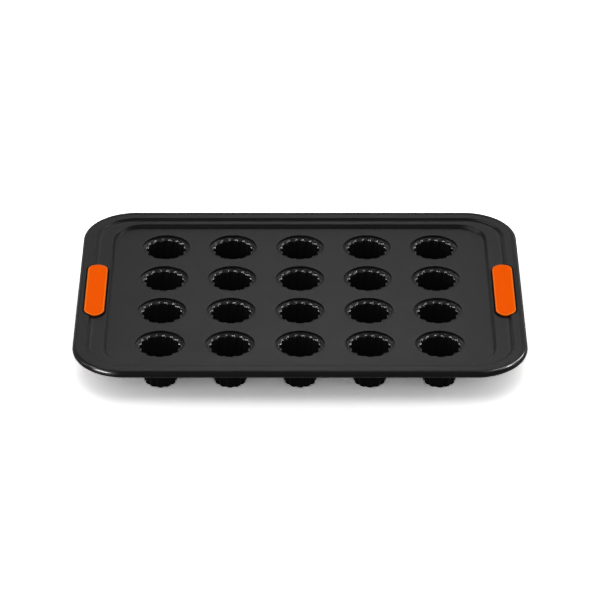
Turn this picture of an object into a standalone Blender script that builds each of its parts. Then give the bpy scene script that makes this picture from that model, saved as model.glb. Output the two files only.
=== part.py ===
"""Mini canele pan: a pressed tray with a stepped, wired rim, twenty fluted cups and two soft grips.

Everything is in metres. The pan stands on the feet of its cups at z = 0, X runs along its long side,
and the grips are set in the rim at both ends. The sizes below stack up from one cup outwards and from
the table upwards, so that a change of any of them moves what lies around it.
"""
import math

import bmesh
import bpy
from mathutils import Vector

# One cup: inside radii are measured to the crowns of the flutes
CUP_SHEET = 0.0006
CUP_HEIGHT = 0.0354
CUP_MOUTH_RADIUS = 0.0181
CUP_FOOT_RADIUS = 0.0141
FLUTE_COUNT = 12
FLUTE_DEPTH_AT_MOUTH = 0.0018
FLUTE_DEPTH_AT_FOOT = 0.0013
CROWN_SHARE = 0.42
FOOT_BEND_HEIGHT = 0.0010
FOOT_BEND_REACH = 0.0003
DOME_RADIUS = 0.0075
DOME_RISE = 0.0015

# The seam between a cup's flange and the tray
SEAM_BAND = 0.0036
SEAM_LAP = 0.0020
SEAM_DISH = 0.0010
SEAT_GAP = 0.0003

# The tray's floor and the grid of cups in it
COLUMNS = 5
ROWS = 4
COLUMN_WEB = 0.0183
ROW_WEB = 0.01265
END_LAND = 0.0251
SIDE_LAND = 0.0127
FLOOR_CORNER_RADIUS = 0.0250
TRAY_SHEET = 0.0008

# The stepped rim, from the floor outwards and upwards
STEP_TWO_RUN = 0.0023
STEP_TWO_RISE = 0.0030
END_LEDGE = 0.0106
SIDE_LEDGE = 0.0031
STEP_ONE_SLOPE_RUN = 0.0040
STEP_ONE_SLOPE_RISE = 0.0005
STEP_ONE_WALL_RUN = 0.0009
STEP_ONE_WALL_RISE = 0.0017
FLANGE_WIDTH = 0.0120

# The rolled bead, which stands a little above the flange, and the wire in it
BEAD_DIAMETER = 0.0066
BEAD_STAND = 0.00045
BEAD_TURN = math.radians(270)

# The soft grips, one in each end of the rim
GRIP_LENGTH = 0.0877
GRIP_WIDTH = 0.0181
GRIP_SETBACK = 0.0005
GRIP_LIP = 0.0025
GRIP_STAND = 0.0009
GRIP_DROP = 0.0015
GRIP_EDGE = 0.0006

# How finely round shapes are divided
CORNER_STEPS = 6
BEAD_STEPS = 6
WIRE_SIDES = 6
HOLE_STEPS = 24
GRIP_END_STEPS = 6

# Sizes that follow from the ones above
HOLE_RADIUS = CUP_MOUTH_RADIUS + SEAM_BAND
CUP_FLANGE_RADIUS = HOLE_RADIUS + SEAM_LAP
COLUMN_PITCH = 2 * HOLE_RADIUS + COLUMN_WEB
ROW_PITCH = 2 * HOLE_RADIUS + ROW_WEB
FLOOR_TOP = CUP_HEIGHT + SEAM_DISH + SEAT_GAP + TRAY_SHEET
LEDGE_TOP = FLOOR_TOP + STEP_TWO_RISE
WALL_FOOT = LEDGE_TOP + STEP_ONE_SLOPE_RISE
FLANGE_TOP = WALL_FOOT + STEP_ONE_WALL_RISE
RIM_TOP = FLANGE_TOP + BEAD_STAND
STEP_ONE_WALL = FLANGE_WIDTH + STEP_ONE_WALL_RUN
STEP_ONE_FOOT = STEP_ONE_WALL + STEP_ONE_SLOPE_RUN
END_RIM = STEP_ONE_FOOT + END_LEDGE + STEP_TWO_RUN
SIDE_RIM = STEP_ONE_FOOT + SIDE_LEDGE + STEP_TWO_RUN
HALF_LENGTH = (COLUMNS - 1) / 2 * COLUMN_PITCH + HOLE_RADIUS + END_LAND + END_RIM
HALF_WIDTH = (ROWS - 1) / 2 * ROW_PITCH + HOLE_RADIUS + SIDE_LAND + SIDE_RIM
CORNER_RADIUS = FLOOR_CORNER_RADIUS + SIDE_RIM
BEAD_RADIUS = BEAD_DIAMETER / 2
BEAD_FOOT = BEAD_RADIUS + math.sqrt(BEAD_STAND * (BEAD_DIAMETER - BEAD_STAND))


def clear_scene():
    """Remove every object, so that the script can be run again in the same file."""
    for old in list(bpy.data.objects):
        bpy.data.objects.remove(old, do_unlink=True)


def make_material(name, colour, roughness, metallic):
    """A plain Principled material."""
    material = bpy.data.materials.new(name)
    material.use_nodes = True
    material.diffuse_color = (*colour, 1.0)
    shader = material.node_tree.nodes["Principled BSDF"]
    shader.inputs["Base Color"].default_value = (*colour, 1.0)
    shader.inputs["Roughness"].default_value = roughness
    shader.inputs["Metallic"].default_value = metallic
    return material


def finish_mesh(bm, name, smooth_angle=None, closed=True):
    """Turn a bmesh into a mesh, shaded smooth below the given angle. A closed one faces outwards."""
    if closed:
        bmesh.ops.recalc_face_normals(bm, faces=bm.faces)
    mesh = bpy.data.meshes.new(name)
    bm.to_mesh(mesh)
    bm.free()
    if smooth_angle is not None:
        mesh.shade_smooth()
        mesh.set_sharp_from_angle(angle=smooth_angle)
    return mesh


def add_object(name, mesh, material=None, parent=None, location=(0.0, 0.0, 0.0)):
    """Place a mesh in the scene under its own name."""
    placed = bpy.data.objects.new(name, mesh)
    placed.location = location
    placed.parent = parent
    if material is not None and not mesh.materials:
        mesh.materials.append(material)
    bpy.context.collection.objects.link(placed)
    return placed


def add_cutter(name, mesh, location=(0.0, 0.0, 0.0)):
    """Place a mesh that only cuts or joins others, kept out of the finished pan."""
    cutter = add_object(name, mesh, location=location)
    cutter.hide_render = True
    cutter.display_type = "WIRE"
    return cutter


def add_boolean(target, cutter, operation):
    """Add an exact Boolean modifier."""
    modifier = target.modifiers.new(cutter.name, "BOOLEAN")
    modifier.operation = operation
    modifier.solver = "EXACT"
    modifier.object = cutter


def join_rings(bm, first, second):
    """Join two closed rings of equally many points with four-sided faces."""
    count = len(first)
    for i in range(count):
        j = (i + 1) % count
        bm.faces.new((first[i], first[j], second[j], second[i]))


# Cups

def fluted_ring(bm, crown_radius, flute_depth, height):
    """A ring with three points to a flute, a notch and the two ends of a crown. One crown faces the
    front of the pan."""
    flute_angle = math.tau / FLUTE_COUNT
    notch = (-0.5, crown_radius - flute_depth)
    crown_start = (-0.5 * CROWN_SHARE, crown_radius)
    crown_end = (0.5 * CROWN_SHARE, crown_radius)
    ring = []
    for flute in range(FLUTE_COUNT):
        for offset, radius in (notch, crown_start, crown_end):
            angle = -math.pi / 2 + flute_angle * (flute + offset)
            ring.append(bm.verts.new((radius * math.cos(angle), radius * math.sin(angle), height)))
    return ring


def notch_ring(bm, radius, height):
    """A ring with one point under each notch between two flutes."""
    flute_angle = math.tau / FLUTE_COUNT
    ring = []
    for flute in range(FLUTE_COUNT):
        angle = -math.pi / 2 + flute_angle * (flute - 0.5)
        ring.append(bm.verts.new((radius * math.cos(angle), radius * math.sin(angle), height)))
    return ring


def join_flutes_to_foot(bm, wall, foot):
    """Run the flutes out into the foot: each crown gets a flat face and two small corners."""
    for flute in range(FLUTE_COUNT):
        notch = wall[3 * flute]
        crown_start = wall[3 * flute + 1]
        crown_end = wall[3 * flute + 2]
        next_notch = wall[3 * ((flute + 1) % FLUTE_COUNT)]
        foot_start = foot[flute]
        foot_end = foot[(flute + 1) % FLUTE_COUNT]
        bm.faces.new((foot_start, notch, crown_start))
        bm.faces.new((foot_start, crown_start, crown_end, foot_end))
        bm.faces.new((foot_end, crown_end, next_notch))


def close_with_dome(bm, ring, height):
    """Close a ring with a low cone, the pushed-up middle of a cup's foot."""
    tip = bm.verts.new((0.0, 0.0, height))
    for i, corner in enumerate(ring):
        bm.faces.new((corner, ring[(i + 1) % len(ring)], tip))


def cup_skin(bm, outward, lowered):
    """One side of the cup's sheet, from its flange down to the middle of its foot.

    outward moves the walls and lowered moves the level faces, and bend is how far both move where
    a sloping face meets them. Returns the ring at the edge of the flange.
    """
    bend = outward * math.tan(math.pi / 8)
    foot_radius = CUP_FOOT_RADIUS - FLUTE_DEPTH_AT_FOOT - FOOT_BEND_REACH
    foot_level = CUP_SHEET - lowered
    flange = fluted_ring(bm, CUP_FLANGE_RADIUS, 0.0, CUP_HEIGHT + SEAM_DISH - lowered)
    mouth = fluted_ring(bm, CUP_MOUTH_RADIUS + outward, FLUTE_DEPTH_AT_MOUTH, CUP_HEIGHT - lowered)
    wall_foot = fluted_ring(bm, CUP_FOOT_RADIUS + outward, FLUTE_DEPTH_AT_FOOT,
                            CUP_SHEET + FOOT_BEND_HEIGHT - bend)
    foot = notch_ring(bm, foot_radius + bend, foot_level)
    dome = notch_ring(bm, DOME_RADIUS, foot_level)
    join_rings(bm, flange, mouth)
    join_rings(bm, mouth, wall_foot)
    join_flutes_to_foot(bm, wall_foot, foot)
    join_rings(bm, foot, dome)
    close_with_dome(bm, dome, foot_level + DOME_RISE)
    return flange


def make_cup_mesh():
    """A thin fluted cup: its inner and outer skins meet at the edge of its flange."""
    bm = bmesh.new()
    inner_edge = cup_skin(bm, 0.0, 0.0)
    outer_edge = cup_skin(bm, CUP_SHEET, CUP_SHEET)
    join_rings(bm, inner_edge, outer_edge)
    return finish_mesh(bm, "cup", math.radians(22))


def cup_places():
    """The name and centre of each cup, row 1 at the back and column 1 at the left."""
    for row in range(ROWS):
        for column in range(COLUMNS):
            x = (column - (COLUMNS - 1) / 2) * COLUMN_PITCH
            y = ((ROWS - 1) / 2 - row) * ROW_PITCH
            yield f"cup_r{row + 1}c{column + 1}", x, y


# Tray

def rim_ring(bm, end_inset, side_inset, height):
    """A rounded rectangle, set in from the pan's outline by one distance at the ends and another at
    the sides. Its corners stay parallel to the outline's."""
    half_x = HALF_LENGTH - end_inset
    half_y = HALF_WIDTH - side_inset
    radius = CORNER_RADIUS - side_inset
    ring = []
    for corner, (sign_x, sign_y) in enumerate(((1, 1), (-1, 1), (-1, -1), (1, -1))):
        for step in range(CORNER_STEPS + 1):
            angle = math.pi / 2 * (corner + step / CORNER_STEPS)
            x = sign_x * (half_x - radius) + radius * math.cos(angle)
            y = sign_y * (half_y - radius) + radius * math.sin(angle)
            ring.append(bm.verts.new((x, y, height)))
    return ring


def rim_profile():
    """The top of the rim from the bead inwards: inset at the ends, inset at the sides, height."""
    profile = [(BEAD_FOOT, BEAD_FOOT, FLANGE_TOP)]
    profile.append((FLANGE_WIDTH, FLANGE_WIDTH, FLANGE_TOP))
    profile.append((STEP_ONE_WALL, STEP_ONE_WALL, WALL_FOOT))
    profile.append((STEP_ONE_FOOT, STEP_ONE_FOOT, LEDGE_TOP))
    profile.append((STEP_ONE_FOOT + END_LEDGE, STEP_ONE_FOOT + SIDE_LEDGE, LEDGE_TOP))
    profile.append((END_RIM, SIDE_RIM, FLOOR_TOP))
    return profile


def bead_profile():
    """The outside of the rolled bead, from its free edge under the rim round to its top."""
    profile = []
    for step in range(BEAD_STEPS + 1):
        angle = math.pi / 2 - BEAD_TURN * (1 - step / BEAD_STEPS)
        inset = BEAD_RADIUS - BEAD_RADIUS * math.cos(angle)
        height = RIM_TOP - BEAD_RADIUS + BEAD_RADIUS * math.sin(angle)
        profile.append((inset, inset, height))
    return profile


def make_tray_mesh():
    """The open top face of the tray's sheet: the bead, the stepped rim and a flat floor. Its rings
    run anticlockwise from the bead's free edge inwards, so its faces look up and out."""
    bm = bmesh.new()
    rings = []
    for end_inset, side_inset, height in bead_profile() + rim_profile():
        rings.append(rim_ring(bm, end_inset, side_inset, height))
    for outer, inner in zip(rings, rings[1:]):
        join_rings(bm, outer, inner)
    bm.faces.new(rings[-1])
    return finish_mesh(bm, "tray", math.radians(15), closed=False)


def add_prism(bm, outline, low, high):
    """An upright prism over a list of (x, y) points."""
    base = [bm.verts.new((x, y, low)) for x, y in outline]
    top = [bm.verts.new((x, y, high)) for x, y in outline]
    bm.faces.new(base)
    bm.faces.new(top)
    join_rings(bm, base, top)


def make_hole_cutter_mesh():
    """A round punch for every cup, all in one mesh."""
    bm = bmesh.new()
    for _, x, y in cup_places():
        circle = []
        for step in range(HOLE_STEPS):
            angle = math.tau * step / HOLE_STEPS
            circle.append((x + HOLE_RADIUS * math.cos(angle), y + HOLE_RADIUS * math.sin(angle)))
        add_prism(bm, circle, FLOOR_TOP - 3 * TRAY_SHEET, FLOOR_TOP + 2 * TRAY_SHEET)
    return finish_mesh(bm, "hole_cutter")


def add_tray(material):
    """The tray: its sheet given thickness, with the holes for the cups punched out."""
    tray = add_object("tray", make_tray_mesh(), material)
    thickness = tray.modifiers.new("sheet", "SOLIDIFY")
    thickness.thickness = TRAY_SHEET
    thickness.offset = -1.0
    thickness.use_even_offset = True
    add_boolean(tray, add_cutter("hole_cutter", make_hole_cutter_mesh()), "DIFFERENCE")
    return tray


def make_wire_mesh():
    """The round wire that stiffens the bead, a closed loop with the same corners."""
    half_step = BEAD_TURN / BEAD_STEPS / 2
    wire_radius = BEAD_RADIUS * math.cos(half_step) - TRAY_SHEET - SEAT_GAP
    bm = bmesh.new()
    rings = []
    for side in range(WIRE_SIDES):
        angle = math.tau * (side + 0.5) / WIRE_SIDES
        inset = BEAD_RADIUS - wire_radius * math.cos(angle)
        height = RIM_TOP - BEAD_RADIUS + wire_radius * math.sin(angle)
        rings.append(rim_ring(bm, inset, inset, height))
    for side, ring in enumerate(rings):
        join_rings(bm, ring, rings[(side + 1) % WIRE_SIDES])
    return finish_mesh(bm, "rim_wire", math.radians(50))


# Grips

GRIP_OUTER_INSET = BEAD_DIAMETER + GRIP_SETBACK
GRIP_CENTRE = HALF_LENGTH - GRIP_OUTER_INSET - GRIP_WIDTH / 2


def stadium(margin):
    """The outline of a grip, a long bar with round ends, drawn in by a margin on all sides."""
    radius = GRIP_WIDTH / 2 - margin
    straight = GRIP_LENGTH / 2 - GRIP_WIDTH / 2
    outline = []
    for end in (0, 1):
        for step in range(GRIP_END_STEPS + 1):
            angle = math.pi * (end + step / GRIP_END_STEPS)
            centre = straight if end == 0 else -straight
            outline.append((radius * math.cos(angle), centre + radius * math.sin(angle)))
    return outline


def make_bar_mesh(name, margin, low, high):
    """A bar with a grip's outline, drawn in by a margin."""
    bm = bmesh.new()
    add_prism(bm, stadium(margin), low, high)
    return finish_mesh(bm, name, math.radians(40))


def shifted_line(points, distance):
    """A line of points moved square to itself: to its left where the distance is positive."""
    directions = [(b - a).normalized() for a, b in zip(points, points[1:])]
    moved = []
    for i, point in enumerate(points):
        before = directions[max(i - 1, 0)]
        after = directions[min(i, len(directions) - 1)]
        along = (before + after).normalized()
        square = Vector((-along.y, along.x))
        moved.append(point + square * distance / along.dot(after))
    return moved


def make_sheet_space_mesh(side):
    """The room that the rim's sheet needs through a grip, with clearance above and below it."""
    line = [Vector((0.0, FLANGE_TOP))]
    for end_inset, _, height in rim_profile():
        line.append(Vector((end_inset, height)))
    line.append(Vector((END_RIM + GRIP_WIDTH, FLOOR_TOP)))
    upper = shifted_line(line, SEAT_GAP)
    lower = shifted_line(line, -TRAY_SHEET - SEAT_GAP)
    outline = [(side * (HALF_LENGTH - point.x), point.y) for point in upper + lower[::-1]]
    bm = bmesh.new()
    front = [bm.verts.new((x, -GRIP_LENGTH, z)) for x, z in outline]
    back = [bm.verts.new((x, GRIP_LENGTH, z)) for x, z in outline]
    bm.faces.new(front)
    bm.faces.new(back)
    join_rings(bm, front, back)
    return finish_mesh(bm, "sheet_space")


def add_grip(name, side, tray, material):
    """A soft grip moulded through a slot in the rim, with a lip above the sheet and one below."""
    top = FLANGE_TOP + GRIP_STAND
    bottom = LEDGE_TOP - TRAY_SHEET - GRIP_DROP
    place = (side * GRIP_CENTRE, 0.0, 0.0)
    grip = add_object(name, make_bar_mesh(name, 0.0, bottom, top), material, location=place)
    edge = grip.modifiers.new("edge", "BEVEL")
    edge.width = GRIP_EDGE
    edge.segments = 2
    edge.limit_method = "ANGLE"
    edge.angle_limit = math.radians(60)
    space = add_cutter(f"{name}_sheet_space", make_sheet_space_mesh(side))
    add_boolean(grip, space, "DIFFERENCE")
    neck_mesh = make_bar_mesh(f"{name}_neck", GRIP_LIP, bottom + GRIP_EDGE, top - GRIP_EDGE)
    add_boolean(grip, add_cutter(f"{name}_neck", neck_mesh, place), "UNION")
    slot_mesh = make_bar_mesh(f"{name}_slot", GRIP_LIP - SEAT_GAP, FLOOR_TOP, top)
    add_boolean(tray, add_cutter(f"{name}_slot", slot_mesh, place), "DIFFERENCE")
    return grip


# Assembly

clear_scene()
coating = make_material("nonstick_coating", (0.040, 0.040, 0.041), 0.42, 0.0)
cup_coating = make_material("cup_coating", (0.034, 0.034, 0.035), 0.38, 0.0)
wire_steel = make_material("wire_steel", (0.45, 0.45, 0.46), 0.45, 1.0)
silicone = make_material("orange_silicone", (0.79, 0.10, 0.004), 0.55, 0.0)

pan_tray = add_tray(coating)
add_object("rim_wire", make_wire_mesh(), wire_steel)
cup_mesh = make_cup_mesh()
for cup_name, cup_x, cup_y in cup_places():
    add_object(cup_name, cup_mesh, cup_coating, location=(cup_x, cup_y, 0.0))
add_grip("grip_left", -1, pan_tray, silicone)
add_grip("grip_right", 1, pan_tray, silicone)
bpy.context.view_layer.update()
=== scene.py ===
"""Looks of the mini canele pan: its pressed tray, fluted cups, rim wire and soft grips."""
import math

import bmesh
import bpy
from mathutils import Matrix, Vector


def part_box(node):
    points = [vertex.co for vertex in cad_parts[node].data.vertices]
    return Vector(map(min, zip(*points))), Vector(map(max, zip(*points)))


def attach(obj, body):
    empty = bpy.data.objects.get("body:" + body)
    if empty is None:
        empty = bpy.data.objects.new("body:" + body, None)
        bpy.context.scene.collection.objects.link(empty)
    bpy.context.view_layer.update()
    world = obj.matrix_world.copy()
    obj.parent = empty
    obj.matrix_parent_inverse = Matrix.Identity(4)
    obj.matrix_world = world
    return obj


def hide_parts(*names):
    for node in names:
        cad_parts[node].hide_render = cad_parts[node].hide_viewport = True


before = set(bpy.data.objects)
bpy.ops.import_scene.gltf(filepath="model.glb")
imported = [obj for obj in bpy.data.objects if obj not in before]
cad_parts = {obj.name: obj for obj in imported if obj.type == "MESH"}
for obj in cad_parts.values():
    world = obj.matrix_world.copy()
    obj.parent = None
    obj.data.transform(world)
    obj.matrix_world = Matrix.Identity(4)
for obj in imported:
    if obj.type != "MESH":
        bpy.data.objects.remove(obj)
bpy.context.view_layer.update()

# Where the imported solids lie, in metres
TRAY_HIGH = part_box("tray")[1]
GRIP_LOW, GRIP_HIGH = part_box("grip_right")
CUP_LOW, CUP_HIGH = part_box("cup_r1c1")
CUP_NODES = sorted(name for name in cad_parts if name.startswith("cup_"))
HALF_LENGTH = TRAY_HIGH.x
HALF_WIDTH = TRAY_HIGH.y
RIM_TOP = TRAY_HIGH.z

# The tray's sheet and its rim, from the outer edge inwards. Each part of a step is (run, fall),
# and the bead's lean over the flange is in degrees.
SHEET = 0.0008
CORNER_RADIUS = 0.0473
CORNER_STEPS = 40
BEAD_RADIUS = 0.0033
BEAD_STAND = 0.00045
BEAD_LEAN = 18
CURL_STEPS = 32
FLANGE_WIDTH = 0.0120
STEP_ONE_WALL = (0.0009, 0.0015)
STEP_ONE_DISH = (0.0020, 0.0006)
STEP_ONE_SLOPE = (0.0020, 0.0001)
END_LEDGE = 0.0106
SIDE_LEDGE = 0.0031
STEP_TWO = (0.0023, 0.0030)
SHARP_ANGLE = math.radians(35)
FLANGE_TOP = RIM_TOP - BEAD_STAND
DISH_TOP = FLANGE_TOP - STEP_ONE_WALL[1] - STEP_ONE_DISH[1]
LEDGE_TOP = DISH_TOP - STEP_ONE_SLOPE[1]
FLOOR_TOP = LEDGE_TOP - STEP_TWO[1]

# Where the bead is rubbed smooth at the front corners. Each is a limit and the length of its fade,
# measured past the straight part of the front, past that of the ends, or in from the outline.
RUB_PAST_FRONT = (0.006, 0.014)
RUB_PAST_END = (0.004, 0.008)
RUB_LEFT_STOP = (0.030, 0.007)
RUB_INNER_EDGE = (0.72 * BEAD_RADIUS, 0.0006)
RUB_OUTER_EDGE = (0.26 * BEAD_RADIUS, 0.0005)
RUB_LOWEST = (RIM_TOP - 1.1 * BEAD_RADIUS, 0.0010)

# The holes for the cups
HOLE_RADIUS = 0.0217
HOLE_ROUND = 0.0003
HOLE_STEPS = 96

# One cup, with inside radii measured to the crowns of its flutes
CUP_SHEET = 0.0006
MOUTH_RADIUS = 0.0181
FOOT_RADIUS = 0.0141
FLANGE_RADIUS = (CUP_HIGH.x - CUP_LOW.x) / 2
MOUTH_LEVEL = 0.0354
FLANGE_LEVEL = CUP_HIGH.z
MOUTH_ROUND = 0.0026
FOOT_BEND = 0.0010
DOME_RADIUS = 0.0075
DOME_RISE = 0.0015
FLUTES = 12
POINTS_PER_FLUTE = 12
FLUTE_DEPTH_AT_MOUTH = 0.0018
FLUTE_DEPTH_AT_FOOT = 0.0013
NOTCH_GATHERING = 0.6
NOTCH_SHARPNESS = 10.0

# The radii between which the flutes grow on the foot and fade past the mouth, how far down the
# mouth is glossy, and the leans of its bend, in degrees, between which the gloss comes and goes
FLUTES_GROW = (DOME_RADIUS + 0.0022, FOOT_RADIUS - 0.0008)
FLUTES_FADE = (MOUTH_RADIUS + 0.0006, MOUTH_RADIUS + 0.0032)
GLOSS_DEPTH = 0.0030
GLOSS_COMES = (24, 36)
GLOSS_GOES = (82, 72)

# The grips, and the grooves round them as (width, depth)
GRIP_LENGTH = GRIP_HIGH.y - GRIP_LOW.y
GRIP_WIDTH = GRIP_HIGH.x - GRIP_LOW.x
GRIP_CENTRE = (GRIP_HIGH.x + GRIP_LOW.x) / 2
GRIP_LIP = 0.0025
GRIP_ROUND = 0.0008
GRIP_EDGE = 0.0013
GRIP_DIP = 0.0009
GRIP_DIP_REACH = (0.0105, 0.0160)
GRIP_CROWN = 0.0002
GROOVE = (0.0012, 0.0006)
SEAT_GAP = 0.0003

# The nonstick coating
COATING_DARK = 0.003
COATING_LIGHT = 0.006
# The near-black of the painted shade in the grooves round the grips
COATING_GROOVE_SHADE = 0.001
COATING_ROUGHNESS = 0.34
COATING_SPECULAR = 0.06

# The photograph's camera
CAMERA_ELEVATION = math.radians(31.07)
CAMERA_DISTANCE = 3.10
IMAGE_SIZE_PX = 600
FOCAL_LENGTH_PX = 3440
RIM_CENTRE_PX = (299.55, 288.4)


# Node trees written as Python expressions

class Wire:
    """A socket that Python's operators turn into Math nodes."""

    def __init__(self, graph, socket):
        self.graph = graph
        self.socket = socket

    def __add__(self, other):
        return self.graph.math("ADD", self, other)

    def __sub__(self, other):
        return self.graph.math("SUBTRACT", self, other)

    def __mul__(self, other):
        return self.graph.math("MULTIPLY", self, other)

    def __truediv__(self, other):
        return self.graph.math("DIVIDE", self, other)

    def __pow__(self, other):
        return self.graph.math("POWER", self, other)

    def __rsub__(self, other):
        return self.graph.math("SUBTRACT", other, self)

    def __rtruediv__(self, other):
        return self.graph.math("DIVIDE", other, self)

    __radd__ = __add__
    __rmul__ = __mul__

    def clamp(self):
        return self.graph.add("ShaderNodeClamp", {}, {"Value": self})

    def fade_in(self, start, length):
        """0 below a start, and 1 from a length past it."""
        return ((self - start) / length).clamp()

    def fade_out(self, end, length):
        """0 above an end, and 1 from a length before it."""
        return ((end - self) / length).clamp()

    def beyond(self, limit):
        """How far the magnitude of this value is over a limit, at least zero."""
        return self.graph.math("MAXIMUM", self.graph.math("ABSOLUTE", self) - limit, 0.0)

    def other(self, name):
        """Another output of the same node."""
        return Wire(self.graph, self.socket.node.outputs[name])


class Graph:
    """A node tree with one method for any node."""

    def __init__(self, tree):
        self.tree = tree
        tree.nodes.clear()

    def add(self, kind, settings, inputs, output=0):
        """Make a node, apply its settings, feed its sockets and return one of its outputs."""
        node = self.tree.nodes.new(kind)
        for name, value in settings.items():
            setattr(node, name, value)
        for key, value in inputs.items():
            self.feed(node.inputs[key], value)
        return Wire(self, node.outputs[output]) if node.outputs else node

    def feed(self, socket, value):
        """Link a wire into a socket, or set the socket's own value."""
        if isinstance(value, Wire):
            self.tree.links.new(value.socket, socket)
        else:
            socket.default_value = value

    def math(self, operation, first, second=0.0):
        return self.add("ShaderNodeMath", {"operation": operation}, {0: first, 1: second})

    def noise(self, where, scale, detail=3.0, roughness=0.5):
        sizes = {"Vector": where, "Scale": scale, "Detail": detail, "Roughness": roughness}
        return self.add("ShaderNodeTexNoise", {}, sizes)

    def mix_colour(self, factor, first, second):
        settings = {"data_type": "RGBA"}
        return self.add("ShaderNodeMix", settings, {"Factor": factor, 6: first, 7: second}, 2)


def rgb(red, green, blue):
    return (red, green, blue, 1.0)


def grey(level):
    return rgb(level, level, level)


# Materials

def new_material(name):
    """An empty material and the graph of its nodes."""
    material = bpy.data.materials.new(name)
    material.use_nodes = True
    return material, Graph(material.node_tree)


def finish_material(graph, shader):
    graph.add("ShaderNodeOutputMaterial", {}, {"Surface": shader})


def mouth_gloss(graph, where):
    """The coating is drawn smooth over the bend of a cup's mouth."""
    return graph.add("ShaderNodeAttribute", {"attribute_name": "mouth_polish"}, {}, "Fac")


def corner_gloss(graph, where):
    """The bead's outer shoulder is rubbed smooth round the tray's two front corners, in a short
    patch at the left and in a thin line at the right."""
    place = graph.add("ShaderNodeSeparateXYZ", {}, {0: where})
    past_end = place.beyond(HALF_LENGTH - CORNER_RADIUS)
    front = HALF_WIDTH - CORNER_RADIUS
    past_side = graph.math("MAXIMUM", -1.0 * place.other("Y") - front, 0.0)
    reach = (past_end ** 2 + past_side ** 2) ** 0.5
    inset = CORNER_RADIUS - reach
    on_shoulder = inset.fade_out(*RUB_INNER_EDGE) * place.other("Z").fade_in(*RUB_LOWEST)
    round_corner = past_side.fade_in(*RUB_PAST_FRONT) * past_end.fade_in(*RUB_PAST_END)
    short_patch = past_end.fade_out(*RUB_LEFT_STOP)
    thin_line = inset.fade_in(*RUB_OUTER_EDGE)
    at_right = place.fade_in(0.0, 0.001)
    return on_shoulder * round_corner * (short_patch + (thin_line - short_patch) * at_right)


def grip_margin(graph, where):
    """How far a point lies inside the outline of the grips, negative outside it."""
    place = graph.add("ShaderNodeSeparateXYZ", {}, {0: where})
    across = graph.math("ABSOLUTE", place) - GRIP_CENTRE
    past_straight = place.other("Y").beyond(GRIP_LENGTH / 2 - GRIP_WIDTH / 2)
    return GRIP_WIDTH / 2 - (across ** 2 + past_straight ** 2) ** 0.5


def groove_shade_and_dull(graph, where):
    """The groove round a grip, where the coating is rougher and its colour is darkened with painted
    shade.
    """
    margin = grip_margin(graph, where)
    return margin.fade_in(-0.0016, 0.0004) * margin.fade_out(0.0004, 0.0004)


def coated_steel(name, cloudiness, coat_roughness, coat_ior, gloss_mask, shade_and_dull_mask=None):
    """Satin nonstick coating: faint clouds, fine speckle and the orange peel of a sprayed coat.
    It is glossy where one mask says so, and where the other does it is rougher and darkened with
    painted shade."""
    material, graph = new_material(name)
    where = graph.add("ShaderNodeTexCoord", {}, {}, "Object")
    clouds = graph.noise(where, 38.0, 4.0, 0.55)
    speckle = graph.noise(where, 2600.0, 2.0, 0.6)
    peel = graph.noise(where, 950.0, 2.0, 0.45)
    tone = (0.65 * clouds + 0.35 * speckle).clamp()
    colour = graph.mix_colour(tone, grey(COATING_DARK), grey(COATING_LIGHT))
    gloss = COATING_ROUGHNESS + cloudiness * (clouds - 0.5) + 0.10 * (speckle - 0.5)
    if shade_and_dull_mask:
        dull = shade_and_dull_mask(graph, where)
        # Painted shade: the colour darkens in the groove round each grip. The rougher coating there
        # is real.
        colour = graph.mix_colour(dull, colour, grey(COATING_GROOVE_SHADE))
        gloss = gloss + 0.6 * dull
    relief = {"Strength": 0.22, "Distance": 0.00008, "Height": 0.7 * peel + 0.3 * speckle}
    bump = graph.add("ShaderNodeBump", {}, relief)
    surface = {"Base Color": colour, "Roughness": gloss, "Normal": bump,
               "Specular IOR Level": COATING_SPECULAR, "Coat Weight": gloss_mask(graph, where),
               "Coat Roughness": coat_roughness, "Coat IOR": coat_ior}
    finish_material(graph, graph.add("ShaderNodeBsdfPrincipled", {}, surface))
    return material


def silicone(name, dark, light, edge):
    """Satin moulded silicone: soft mottling, a very fine matt texture and a paler edge, which is a
    painted highlight.
    """
    material, graph = new_material(name)
    where = graph.add("ShaderNodeTexCoord", {}, {}, "Object")
    mottle = graph.noise(where, 140.0, 3.0, 0.5)
    grain = graph.noise(where, 3800.0, 2.0, 0.6)
    colour = graph.mix_colour((0.8 * mottle + 0.2 * grain).clamp(), dark, light)
    # Painted highlight: the colour is paler near the grip's outline, where its rounded edge would
    # catch the light.
    painted_edge_highlight = grip_margin(graph, where).fade_out(0.0018, 0.0012)
    colour = graph.mix_colour(painted_edge_highlight, colour, edge)
    gloss = 0.55 + 0.12 * (mottle - 0.5) + 0.12 * (grain - 0.5)
    bump = graph.add("ShaderNodeBump", {}, {"Strength": 0.18, "Distance": 0.00005, "Height": grain})
    surface = {"Base Color": colour, "Roughness": gloss, "Normal": bump,
               "Specular IOR Level": 0.003}
    finish_material(graph, graph.add("ShaderNodeBsdfPrincipled", {}, surface))
    return material


def drawn_steel(name):
    """Plain drawn wire with fine scale marks and dull spots."""
    material, graph = new_material(name)
    where = graph.add("ShaderNodeTexCoord", {}, {}, "Object")
    marks = graph.noise(where, 1500.0, 3.0, 0.6)
    stains = graph.noise(where, 60.0, 4.0, 0.6)
    colour = graph.mix_colour(stains, rgb(0.36, 0.35, 0.34), rgb(0.55, 0.54, 0.53))
    gloss = 0.34 + 0.22 * stains + 0.10 * marks
    bump = graph.add("ShaderNodeBump", {}, {"Strength": 0.3, "Distance": 0.00005, "Height": marks})
    surface = {"Base Color": colour, "Roughness": gloss, "Metallic": 1.0, "Normal": bump}
    finish_material(graph, graph.add("ShaderNodeBsdfPrincipled", {}, surface))
    return material


# Mesh building

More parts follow.
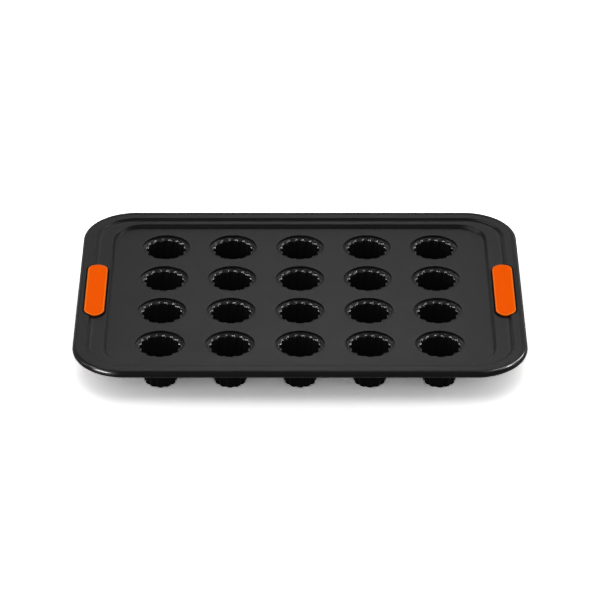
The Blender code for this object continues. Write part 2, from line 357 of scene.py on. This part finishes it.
def mesh_object(bm, name, material):
    """Turn a bmesh into an object at the origin with one material."""
    mesh = bpy.data.meshes.new(name)
    bm.to_mesh(mesh)
    bm.free()
    mesh.materials.append(material)
    made = bpy.data.objects.new(name, mesh)
    bpy.context.collection.objects.link(made)
    return made


def freeze(source, name):
    """A plain mesh object made from an object as its modifiers show it. The source is removed."""
    bpy.context.view_layer.update()
    evaluated = source.evaluated_get(bpy.context.evaluated_depsgraph_get())
    mesh = bpy.data.meshes.new_from_object(evaluated)
    bpy.data.objects.remove(source, do_unlink=True)
    mesh.name = name
    made = bpy.data.objects.new(name, mesh)
    bpy.context.collection.objects.link(made)
    return made


def face_outwards(mesh):
    """Merge the doubles of a closed mesh and point its faces outwards."""
    bm = bmesh.new()
    bm.from_mesh(mesh)
    bmesh.ops.remove_doubles(bm, verts=bm.verts, dist=1e-7)
    bmesh.ops.recalc_face_normals(bm, faces=bm.faces)
    bm.to_mesh(mesh)
    bm.free()


def shade_by_area(piece):
    """Smooth shading whose normals follow the large flat faces, with sharp edges kept."""
    piece.data.shade_smooth()
    piece.data.set_sharp_from_angle(angle=SHARP_ANGLE)
    normals = piece.modifiers.new("normals", "WEIGHTED_NORMAL")
    normals.mode = "FACE_AREA"
    normals.weight = 50
    normals.keep_sharp = True


def join_rings(bm, first, second):
    """Join two closed rings of equally many points."""
    count = len(first)
    for i in range(count):
        j = (i + 1) % count
        bm.faces.new((first[i], first[j], second[j], second[i]))


def join_all(bm, rings):
    for first, second in zip(rings, rings[1:]):
        join_rings(bm, first, second)


def ring_edges(bm, ring):
    return [bm.edges.get((ring[i - 1], ring[i])) for i in range(len(ring))]


def arc(centre, radius, start, end, steps):
    """Points on an arc in the section plane, with angles in degrees."""
    points = []
    for step in range(steps + 1):
        angle = math.radians(start + (end - start) * step / steps)
        points.append(centre + radius * Vector((math.cos(angle), math.sin(angle))))
    return points


def rounded(corner, before, after, radius, steps):
    """A corner of a section line replaced by an arc that touches both of its sides."""
    to_before = (before - corner).normalized()
    to_after = (after - corner).normalized()
    half_angle = to_before.angle(to_after) / 2
    reach = min(radius / math.tan(half_angle), 0.49 * (before - corner).length,
                0.49 * (after - corner).length)
    start, end = corner + reach * to_before, corner + reach * to_after
    true_radius = reach * math.tan(half_angle)
    centre = corner + (to_before + to_after).normalized() * true_radius / math.sin(half_angle)
    sweep = (start - centre).angle(end - centre)
    points = []
    for step in range(steps + 1):
        share = step / steps
        first = math.sin((1 - share) * sweep) / math.sin(sweep)
        second = math.sin(share * sweep) / math.sin(sweep)
        points.append(centre + first * (start - centre) + second * (end - centre))
    return points


def rounded_line(corners):
    """A section line from corners, each a point, a radius and a number of arc steps."""
    line = [corners[0][0]]
    for before, (corner, radius, steps), after in zip(corners, corners[1:], corners[2:]):
        line += rounded(corner, before[0], after[0], radius, steps)
    line.append(corners[-1][0])
    return line


def shifted_line(points, distance):
    """A section line moved square to itself, to its left where the distance is positive."""
    directions = [(b - a).normalized() for a, b in zip(points, points[1:])]
    moved = []
    for i, point in enumerate(points):
        before = directions[max(i - 1, 0)]
        after = directions[min(i, len(directions) - 1)]
        along = (before + after).normalized()
        square = Vector((-along.y, along.x))
        moved.append(point + square * distance / along.dot(after))
    return moved


# Tray

def rim_ring(bm, inset, extra_at_ends, height):
    """A rounded rectangle set in from the pan's outline, further at the ends than at the sides."""
    half_x = HALF_LENGTH - inset - extra_at_ends
    half_y = HALF_WIDTH - inset
    radius = CORNER_RADIUS - inset
    ring = []
    for corner, (sign_x, sign_y) in enumerate(((1, 1), (-1, 1), (-1, -1), (1, -1))):
        for step in range(CORNER_STEPS + 1):
            angle = math.pi / 2 * (corner + step / CORNER_STEPS)
            x = sign_x * (half_x - radius) + radius * math.cos(angle)
            y = sign_y * (half_y - radius) + radius * math.sin(angle)
            ring.append(bm.verts.new((x, y, height)))
    return ring


def rim_section(ledge):
    """The top of the sheet across the rim, as (inset, height), for a ledge of the given width."""
    bead_centre = Vector((BEAD_RADIUS, RIM_TOP - BEAD_RADIUS))
    curl = arc(bead_centre, BEAD_RADIUS, 360, 90 - BEAD_LEAN, CURL_STEPS)
    lean = math.radians(BEAD_LEAN)
    bead_foot = curl[-1].x + (curl[-1].y - FLANGE_TOP) / math.tan(lean)
    wall_foot = FLANGE_WIDTH + STEP_ONE_WALL[0]
    dish_end = wall_foot + STEP_ONE_DISH[0]
    step_one = dish_end + STEP_ONE_SLOPE[0]
    step_two = step_one + ledge
    corners = [(curl[-1], 0, 0)]
    corners.append((Vector((bead_foot, FLANGE_TOP)), 0.0030, 4))
    corners.append((Vector((FLANGE_WIDTH, FLANGE_TOP)), 0.0010, 5))
    corners.append((Vector((wall_foot, FLANGE_TOP - STEP_ONE_WALL[1])), 0.0022, 5))
    corners.append((Vector((dish_end, DISH_TOP)), 0.0060, 4))
    corners.append((Vector((step_one, LEDGE_TOP)), 0.0100, 4))
    corners.append((Vector((step_two, LEDGE_TOP)), 0.0011, 6))
    corners.append((Vector((step_two + STEP_TWO[0], FLOOR_TOP)), 0.0012, 6))
    corners.append((Vector((step_two + 2 * STEP_TWO[0], FLOOR_TOP)), 0, 0))
    return curl + rounded_line(corners)[1:]


def end_rim_top():
    """The sheet's top across an end of the rim, inwards from the bead, as (inset, height)."""
    return rim_section(END_LEDGE)[CURL_STEPS + 1:]


def sheet_face_rings(bm, shift):
    """The rings of one face of the tray's sheet, moved square to the sheet's top face."""
    at_sides = shifted_line(rim_section(SIDE_LEDGE), shift)
    at_ends = shifted_line(rim_section(END_LEDGE), shift)
    rings = []
    for side, end in zip(at_sides, at_ends):
        rings.append(rim_ring(bm, side.x, end.x - side.x, side.y))
    return rings


def cup_centres():
    """The centre of each cup in the frame, under its node's name."""
    centres = {}
    for node in CUP_NODES:
        low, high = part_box(node)
        centres[node] = ((low.x + high.x) / 2, (low.y + high.y) / 2)
    return centres


def circle(bm, centre, radius, height):
    ring = []
    for step in range(HOLE_STEPS):
        angle = math.tau * step / HOLE_STEPS
        x = centre[0] + radius * math.cos(angle)
        y = centre[1] + radius * math.sin(angle)
        ring.append(bm.verts.new((x, y, height)))
    return ring


def add_hole(bm, centre):
    """The rounded edge of one hole. Returns its rings in the floor's top and underside."""
    rings = []
    for step in range(5):
        angle = math.pi / 2 * step / 4
        radius = HOLE_RADIUS + HOLE_ROUND * (1 - math.sin(angle))
        height = FLOOR_TOP - HOLE_ROUND * (1 - math.cos(angle))
        rings.append(circle(bm, centre, radius, height))
    rings.append(circle(bm, centre, HOLE_RADIUS, FLOOR_TOP - SHEET))
    join_all(bm, rings)
    return rings[0], rings[-1]


def fill_floor(bm, outer, holes):
    """Fill a flat face between the rim's inner ring and the edges of the holes."""
    edges = ring_edges(bm, outer)
    for hole in holes:
        edges += ring_edges(bm, hole)
    bmesh.ops.triangle_fill(bm, use_beauty=True, use_dissolve=False, edges=edges)


def stadium(margin, steps):
    """The outline of a grip, a long bar with round ends, drawn in by a margin on all sides."""
    radius = GRIP_WIDTH / 2 - margin
    straight = GRIP_LENGTH / 2 - GRIP_WIDTH / 2
    outline = []
    for end in (0, 1):
        for step in range(steps + 1):
            angle = math.pi * (end + step / steps)
            y = (straight if end == 0 else -straight) + radius * math.sin(angle)
            outline.append(Vector((radius * math.cos(angle), y)))
    return outline


def bar(bm, layers, centre_x, steps=24):
    """A closed bar with a grip's outline, from layers of (margin, height)."""
    rings = []
    for margin, height in layers:
        outline = stadium(margin, steps)
        rings.append([bm.verts.new((centre_x + p.x, p.y, height)) for p in outline])
    join_all(bm, rings)
    bm.faces.new(rings[0])
    bm.faces.new(rings[-1])
    bmesh.ops.recalc_face_normals(bm, faces=bm.faces)


def boolean(target, cutter, operation):
    modifier = target.modifiers.new(cutter.name, "BOOLEAN")
    modifier.operation = operation
    modifier.solver = "EXACT"
    modifier.object = cutter


def cut_with(target, cutters, name):
    """Apply (cutter, operation) pairs to an object, and remove the cutters."""
    for cutter, operation in cutters:
        boolean(target, cutter, operation)
    made = freeze(target, name)
    for cutter, _ in cutters:
        bpy.data.objects.remove(cutter, do_unlink=True)
    return made


def sheet_drop(inset):
    """How far an end's sheet lies below the flange, at a distance in from the outer edge."""
    line = end_rim_top()
    for before, after in zip(line, line[1:]):
        if before.x <= inset <= after.x:
            share = (inset - before.x) / (after.x - before.x)
            return FLANGE_TOP - before.y - share * (after.y - before.y)
    return 0.0


def groove_cutter(side, material):
    """The slanted groove in the sheet's top round a grip."""
    width, depth = GROOVE
    over, under = FLANGE_TOP + depth / 4, FLANGE_TOP - depth
    margins = (0.0020, 0.0045, 0.0070, 0.0085)
    layers = [(margin, over) for margin in reversed(margins)]
    layers += [(-width, over), (-width / 6, under)]
    layers += [(margin, under) for margin in margins]
    bm = bmesh.new()
    bar(bm, layers, side * GRIP_CENTRE)
    for vert in bm.verts:
        vert.co.z -= sheet_drop(HALF_LENGTH - abs(vert.co.x))
    return mesh_object(bm, "groove_cutter", material)


def slot_cutter(side, material):
    """The slot that a grip's neck passes through."""
    bm = bmesh.new()
    margin = GRIP_LIP - SEAT_GAP
    bar(bm, [(margin, FLOOR_TOP), (margin, RIM_TOP + SHEET)], side * GRIP_CENTRE)
    return mesh_object(bm, "slot_cutter", material)


def make_tray(material):
    """The tray: one sheet with a rolled bead, a stepped rim, round holes and two slots."""
    bm = bmesh.new()
    top = sheet_face_rings(bm, 0.0)
    under = sheet_face_rings(bm, -SHEET)
    join_all(bm, top)
    join_all(bm, under)
    join_rings(bm, top[0], under[0])
    hole_tops, hole_unders = [], []
    for centre in cup_centres().values():
        hole_top, hole_under = add_hole(bm, centre)
        hole_tops.append(hole_top)
        hole_unders.append(hole_under)
    fill_floor(bm, top[-1], hole_tops)
    fill_floor(bm, under[-1], hole_unders)
    bmesh.ops.recalc_face_normals(bm, faces=bm.faces)
    sheet = mesh_object(bm, "whole_sheet", material)
    cutters = [(slot_cutter(side, material), "DIFFERENCE") for side in (-1, 1)]
    cutters += [(groove_cutter(side, material), "DIFFERENCE") for side in (-1, 1)]
    tray = cut_with(sheet, cutters, "tray_sheet")
    shade_by_area(tray)
    return tray


def make_rim_wire(material):
    """The round wire in the bead."""
    radius = (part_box("rim_wire")[1].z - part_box("rim_wire")[0].z) / 2
    bm = bmesh.new()
    section = arc(Vector((BEAD_RADIUS, RIM_TOP - BEAD_RADIUS)), radius, 0, 345, 23)
    rings = [rim_ring(bm, point.x, 0.0, point.y) for point in section]
    join_all(bm, rings + rings[:1])
    bmesh.ops.recalc_face_normals(bm, faces=bm.faces)
    wire = mesh_object(bm, "rim_wire_bar", material)
    wire.data.shade_smooth()
    return wire


# Cups

def ease(value, start, end):
    """A smooth rise from 0 at a start to 1 at an end, which may lie below the start."""
    share = min(max((value - start) / (end - start), 0.0), 1.0)
    return share * share * (3 - 2 * share)


def flute_depth(point):
    """How deep the notches are at a point of the unfluted section."""
    wall_share = (point.y - FOOT_BEND) / (MOUTH_LEVEL - FOOT_BEND)
    on_wall = FLUTE_DEPTH_AT_FOOT + (FLUTE_DEPTH_AT_MOUTH - FLUTE_DEPTH_AT_FOOT) * wall_share
    return on_wall * ease(point.x, *FLUTES_GROW) * (1 - ease(point.x, *FLUTES_FADE))


def mouth_polish(before, point, after):
    """How glossy the coating is at a point: it is drawn smooth over the bend of the mouth."""
    if point.y < MOUTH_LEVEL - GLOSS_DEPTH:
        return 0.0
    lean = math.degrees(math.atan2(abs(after.y - before.y), abs(after.x - before.x)))
    return ease(lean, *GLOSS_COMES) * ease(lean, *GLOSS_GOES)


def cup_section():
    """The closed line round a cup's sheet, from the middle of its foot inside, over its mouth and
    flange, and back outside, with the depth of the notches and the polish at each point."""
    foot = CUP_SHEET
    corners = [(Vector((0.0, foot + DOME_RISE)), 0, 0)]
    corners.append((Vector((DOME_RADIUS, foot)), 0.0060, 4))
    corners.append((Vector((FOOT_RADIUS - 0.0001, foot)), FOOT_BEND, 7))
    corners.append((Vector((MOUTH_RADIUS, MOUTH_LEVEL)), MOUTH_ROUND, 8))
    corners.append((Vector((FLANGE_RADIUS, FLANGE_LEVEL)), 0, 0))
    inside = rounded_line(corners)
    wall = max(range(len(inside) - 1), key=lambda i: (inside[i + 1] - inside[i]).length)
    on_wall = [inside[wall].lerp(inside[wall + 1], share) for share in (0.2, 0.4, 0.6, 0.8)]
    on_flange = [inside[-2].lerp(inside[-1], share) for share in (0.15, 0.3, 0.45, 0.6, 0.8)]
    inside = inside[:wall + 1] + on_wall + inside[wall + 1:-1] + on_flange + inside[-1:]
    outside = shifted_line(inside, -CUP_SHEET)
    outside[0].x = 0.0
    depths = [flute_depth(point) for point in inside]
    polish = [mouth_polish(*three) for three in zip(inside, inside[1:], inside[2:])]
    polish = [0.0] + polish + [0.0]
    return inside + outside[::-1], depths + depths[::-1], polish + [0.0] * len(outside)


def fluted_cup_tree(material):
    """Node tree that sweeps a cup's section round and draws its flutes in."""
    tree = bpy.data.node_groups.new("fluted_cup", "GeometryNodeTree")
    face = tree.interface
    face.new_socket("Section", in_out="INPUT", socket_type="NodeSocketGeometry")
    face.new_socket("Flutes", in_out="INPUT", socket_type="NodeSocketInt")
    face.new_socket("Points per flute", in_out="INPUT", socket_type="NodeSocketInt")
    face.new_socket("Gathering at notches", in_out="INPUT", socket_type="NodeSocketFloat")
    face.new_socket("Notch sharpness", in_out="INPUT", socket_type="NodeSocketFloat")
    face.new_socket("Cup", in_out="OUTPUT", socket_type="NodeSocketGeometry")
    graph = Graph(tree)
    section = graph.add("NodeGroupInput", {}, {})
    flutes, points = section.other("Flutes"), section.other("Points per flute")
    rows = graph.add("GeometryNodeAttributeDomainSize", {}, {"Geometry": section})
    columns = flutes * points + 1
    size = {"Size X": 1.0, "Size Y": 1.0, "Vertices X": columns, "Vertices Y": rows}
    grid = graph.add("GeometryNodeMeshGrid", {}, size)
    position = graph.add("GeometryNodeInputPosition", {}, {})
    place = graph.add("ShaderNodeSeparateXYZ", {}, {0: position})
    column = graph.math("ROUND", (place + 0.5) * (columns - 1))
    row = graph.math("ROUND", (place.other("Y") + 0.5) * (rows - 1))
    spot = {"Geometry": section, "Index": row, "Value": position}
    sampled = graph.add("GeometryNodeSampleIndex", {"data_type": "FLOAT_VECTOR"}, spot)
    section_point = graph.add("ShaderNodeSeparateXYZ", {}, {0: sampled})
    number = {"data_type": "FLOAT"}
    sampled_values = []
    for name in ("flute_depth", "mouth_polish"):
        named = graph.add("GeometryNodeInputNamedAttribute", number, {"Name": name})
        spot = {"Geometry": section, "Index": row, "Value": named}
        sampled_values.append(graph.add("GeometryNodeSampleIndex", number, spot))
    depth, polish = sampled_values
    polished = graph.add("GeometryNodeStoreNamedAttribute", {**number, "domain": "POINT"},
                         {"Geometry": grid, "Name": "mouth_polish", "Value": polish})
    flute = graph.math("FLOOR", column / points + 1e-4)
    share = column / points - flute
    wave = graph.math("SINE", math.tau * share) / math.tau
    gathered = share - section.other("Gathering at notches") * wave
    angle = (flute + gathered) / flutes * math.tau - math.pi / 2 - math.pi / flutes
    out_of_crown = graph.math("ABSOLUTE", 2 * gathered - 1)
    sharp = section.other("Notch sharpness")
    lift = sharp / (sharp - 2)
    notch = lift * out_of_crown ** 2 - (lift - 1) * out_of_crown ** sharp
    radius = section_point - depth * notch
    swept = graph.add("ShaderNodeCombineXYZ", {}, {
        "X": radius * graph.math("COSINE", angle), "Y": radius * graph.math("SINE", angle),
        "Z": section_point.other("Z")})
    moved = graph.add("GeometryNodeSetPosition", {}, {"Geometry": polished, "Position": swept})
    closed = graph.add("GeometryNodeMergeByDistance", {}, {"Geometry": moved, "Distance": 1e-7})
    smooth = graph.add("GeometryNodeSetShadeSmooth", {}, {"Geometry": closed})
    real = graph.add("GeometryNodeRealizeInstances", {}, {"Geometry": smooth})
    coated = graph.add("GeometryNodeSetMaterial", {}, {"Geometry": real, "Material": material})
    graph.add("NodeGroupOutput", {}, {"Cup": coated})
    return tree


def set_tree_input(modifier, name, value):
    """Set a node modifier's input, found by its name and set by its identifier."""
    for item in modifier.node_group.interface.items_tree:
        if item.item_type == "SOCKET" and item.in_out == "INPUT" and item.name == name:
            modifier[item.identifier] = value


def make_cup(material):
    """One fluted cup about its own axis."""
    points, depths, polish = cup_section()
    mesh = bpy.data.meshes.new("cup_section")
    mesh.from_pydata([(p.x, 0.0, p.y) for p in points],
                     [(i, i + 1) for i in range(len(points) - 1)], [])
    mesh.attributes.new("flute_depth", "FLOAT", "POINT").data.foreach_set("value", depths)
    mesh.attributes.new("mouth_polish", "FLOAT", "POINT").data.foreach_set("value", polish)
    host = bpy.data.objects.new("cup_section", mesh)
    bpy.context.collection.objects.link(host)
    modifier = host.modifiers.new("fluted_cup", "NODES")
    modifier.node_group = fluted_cup_tree(material)
    set_tree_input(modifier, "Flutes", FLUTES)
    set_tree_input(modifier, "Points per flute", POINTS_PER_FLUTE)
    set_tree_input(modifier, "Gathering at notches", NOTCH_GATHERING)
    set_tree_input(modifier, "Notch sharpness", NOTCH_SHARPNESS)
    cup = freeze(host, "fluted_cup")
    face_outwards(cup.data)
    return cup


def make_cups(material):
    """A cup in every hole of the tray."""
    pattern = make_cup(material)
    cups = {}
    for node, (x, y) in cup_centres().items():
        mesh = pattern.data.copy()
        mesh.transform(Matrix.Translation((x, y, 0.0)))
        cup = bpy.data.objects.new(node.replace("cup_", "fluted_cup_"), mesh)
        bpy.context.collection.objects.link(cup)
        cups[node] = cup
    bpy.data.objects.remove(pattern, do_unlink=True)
    return cups


# Grips

def sheet_space(side, material):
    """The room that the rim's sheet needs through a grip, with clearance above and below it."""
    line = [point for point in end_rim_top() if point.x > FLANGE_WIDTH / 2]
    line.insert(0, Vector((0.0, FLANGE_TOP)))
    upper = [Vector((point.x, FLANGE_TOP + SEAT_GAP - grip_dip(point.x))) for point in line]
    lower = shifted_line(line, -SHEET - SEAT_GAP)
    outline = [(side * (HALF_LENGTH - p.x), p.y) for p in upper + lower[::-1]]
    bm = bmesh.new()
    front = [bm.verts.new((x, -GRIP_LENGTH, z)) for x, z in outline]
    back = [bm.verts.new((x, GRIP_LENGTH, z)) for x, z in outline]
    bm.faces.new(front)
    bm.faces.new(back)
    join_rings(bm, front, back)
    bmesh.ops.recalc_face_normals(bm, faces=bm.faces)
    return mesh_object(bm, "sheet_space", material)


def grip_dip(inset):
    """How far a grip's top sinks towards the ledge, at a distance from the tray's outer edge."""
    return GRIP_DIP * ease(inset, *GRIP_DIP_REACH)


def grip_layers():
    """The rounded and slightly crowned sides of a grip, as (margin, height) from below."""
    low, high = GRIP_LOW.z, GRIP_HIGH.z - GRIP_CROWN
    layers = []
    for step in range(6):
        angle = math.pi / 2 * step / 5
        height = low + GRIP_ROUND * (1 - math.cos(angle))
        layers.append((GRIP_ROUND * (1 - math.sin(angle)), height))
    for step in range(9):
        angle = math.pi / 2 * step / 8
        height = high - GRIP_ROUND * (1 - math.sin(angle))
        layers.append((GRIP_EDGE * (1 - math.cos(angle)), height))
    crown_width = GRIP_WIDTH / 2 - GRIP_EDGE
    for share in (0.1, 0.2, 0.3, 0.4, 0.5, 0.6, 0.8, 0.96):
        layers.append((GRIP_EDGE + share * crown_width, high + GRIP_CROWN * (1 - (1 - share) ** 2)))
    return layers


def make_grip(name, side, material):
    """A soft grip that wraps the rim's sheet above and below through its slot."""
    bm = bmesh.new()
    bar(bm, grip_layers(), side * GRIP_CENTRE)
    for vert in bm.verts:
        if vert.co.z > FLANGE_TOP:
            vert.co.z -= grip_dip(HALF_LENGTH - abs(vert.co.x))
    whole = mesh_object(bm, "whole_grip", material)
    bm = bmesh.new()
    neck_heights = (GRIP_LOW.z + GRIP_ROUND, GRIP_HIGH.z - GRIP_ROUND)
    bar(bm, [(GRIP_LIP, height) for height in neck_heights], side * GRIP_CENTRE)
    neck = mesh_object(bm, "grip_neck", material)
    cutters = [(sheet_space(side, material), "DIFFERENCE"), (neck, "UNION")]
    grip = cut_with(whole, cutters, name)
    shade_by_area(grip)
    return grip


# Stage, lamps and camera

def make_floor():
    """A white floor that keeps the pan's shadow and is clear from below."""
    bm = bmesh.new()
    bmesh.ops.create_grid(bm, x_segments=1, y_segments=1, size=12.0)
    material, graph = new_material("studio_floor")
    seen = graph.add("ShaderNodeLightPath", {}, {}, "Is Camera Ray")
    mirrored = (seen.other("Is Glossy Ray") + seen.other("Is Transmission Ray")).clamp()
    shown = graph.add("ShaderNodeBsdfDiffuse", {}, {"Color": grey(2.0)})
    glow = graph.add("ShaderNodeEmission", {}, {"Color": grey(1.0), "Strength": 0.06})
    bright = graph.add("ShaderNodeAddShader", {}, {0: shown, 1: glow})
    white = graph.add("ShaderNodeBsdfDiffuse", {}, {"Color": grey(0.9)})
    plain = graph.add("ShaderNodeBsdfDiffuse", {}, {"Color": grey(0.7)})
    unseen = graph.add("ShaderNodeMixShader", {}, {0: mirrored, 1: plain, 2: white})
    lit = graph.add("ShaderNodeMixShader", {}, {0: seen, 1: unseen, 2: bright})
    clear = graph.add("ShaderNodeBsdfTransparent", {}, {})
    below = graph.add("ShaderNodeNewGeometry", {}, {}, "Backfacing")
    finish_material(graph, graph.add("ShaderNodeMixShader", {}, {0: below, 1: lit, 2: clear}))
    floor = mesh_object(bm, "studio_floor", material)


def make_world():
    """Pale surroundings that light the pan a little."""
    world = bpy.data.worlds.new("studio")
    world.use_nodes = True
    bpy.context.scene.world = world
    graph = Graph(world.node_tree)
    pale = graph.add("ShaderNodeBackground", {}, {"Color": grey(1.0), "Strength": 0.66})
    graph.add("ShaderNodeOutputWorld", {}, {"Surface": pale})


def add_softbox(name, place, width, height, brightness, mirrored=True, lights=True):
    """A rectangular lamp aimed at the pan. A brightness of 1 is that of white paper. A card for
    highlights is mirrored and lights nothing, and a fill lights without being mirrored."""
    data = bpy.data.lights.new(name, "AREA")
    data.shape = "RECTANGLE"
    data.size = width
    data.size_y = height
    data.energy = brightness * math.pi * width * height
    lamp = bpy.data.objects.new(name, data)
    lamp.location = place
    lamp.rotation_euler = (-Vector(place)).to_track_quat("-Z", "Y").to_euler()
    lamp.visible_camera = False
    lamp.visible_diffuse = lights
    lamp.visible_glossy = mirrored
    bpy.context.collection.objects.link(lamp)


def add_camera():
    """The photograph's camera: a long lens, looking down at the front of the pan."""
    data = bpy.data.cameras.new("camera")
    data.sensor_width = 36.0
    data.lens = data.sensor_width * FOCAL_LENGTH_PX / IMAGE_SIZE_PX
    data.clip_end = 100.0
    camera = bpy.data.objects.new("camera", data)
    rim_centre = Vector((0.0, 0.0, RIM_TOP))
    back = Vector((0.0, -math.cos(CAMERA_ELEVATION), math.sin(CAMERA_ELEVATION)))
    camera.location = rim_centre + CAMERA_DISTANCE * back
    image_centre = (IMAGE_SIZE_PX - 1) / 2
    lift_px = image_centre - RIM_CENTRE_PX[1]
    drop = lift_px * CAMERA_DISTANCE / FOCAL_LENGTH_PX / math.cos(CAMERA_ELEVATION)
    target = rim_centre - Vector((0.0, 0.0, drop))
    camera.rotation_euler = (target - camera.location).to_track_quat("-Z", "Y").to_euler()
    bpy.context.collection.objects.link(camera)
    bpy.context.scene.camera = camera


# Assembly

# The tray's coating is darkened with painted shade in the grooves round the grips.
tray_coating = coated_steel("tray_coating", cloudiness=0.10, coat_roughness=0.20, coat_ior=1.45,
                            gloss_mask=corner_gloss, shade_and_dull_mask=groove_shade_and_dull)
cup_coating = coated_steel("cup_coating", cloudiness=0.08, coat_roughness=0.10, coat_ior=1.28,
                           gloss_mask=mouth_gloss)
# The silicone's third colour is the paler edge, a painted highlight.
orange_silicone = silicone("orange_silicone", rgb(0.89, 0.096, 0.0), rgb(0.97, 0.110, 0.0005),
                           rgb(0.96, 0.20, 0.020))
wire_steel = drawn_steel("wire_steel")

# Each dressed piece with the node that it replaces and its material slot
dressed = [(make_tray(tray_coating), "tray", "coated_tray")]
dressed.append((make_rim_wire(wire_steel), "rim_wire", "rim_wire"))
for cup_node, fluted_cup in make_cups(cup_coating).items():
    dressed.append((fluted_cup, cup_node, "coated_cup"))
for grip_node, side in (("grip_left", -1), ("grip_right", 1)):
    grip = make_grip(f"silicone_{grip_node}", side, orange_silicone)
    dressed.append((grip, grip_node, "silicone_grip"))
for piece, node, material_slot in dressed:
    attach(piece, "root")
    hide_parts(node)

make_floor()
make_world()
add_softbox("back_panel", (0.04, 2.4, 1.93), 0.8, 0.45, 10.5)
add_softbox("front_fill", (0.0, -3.0, 2.1), 2.0, 1.0, 2.0, mirrored=False)
add_softbox("front_high_fill", (0.0, -1.7, 2.7), 1.4, 1.0, 4.0, mirrored=False)
add_softbox("left_back_card", (-1.75, 2.9, 0.45), 1.8, 0.9, 1.2, lights=False)
add_softbox("right_back_card", (1.75, 2.9, 0.45), 1.8, 0.9, 1.2, lights=False)
add_softbox("left_high_lamp", (-2.3, 0.2, 2.3), 0.4, 0.4, 100.0, lights=False)
add_softbox("right_high_lamp", (2.3, 0.2, 2.3), 0.4, 0.4, 100.0, lights=False)
add_softbox("left_low_lamp", (-3.0, 0.1, 1.1), 0.4, 0.4, 100.0, lights=False)
add_softbox("right_low_lamp", (3.0, 0.1, 1.1), 0.4, 0.4, 80.0, lights=False)
add_softbox("left_front_card", (-2.3, -1.8, 1.35), 1.5, 1.4, 26.0, lights=False)
add_softbox("right_back_strip", (1.64, 1.38, 2.37), 0.5, 2.3, 24.0, lights=False)
add_camera()
bpy.context.scene.view_settings.view_transform = "Standard"
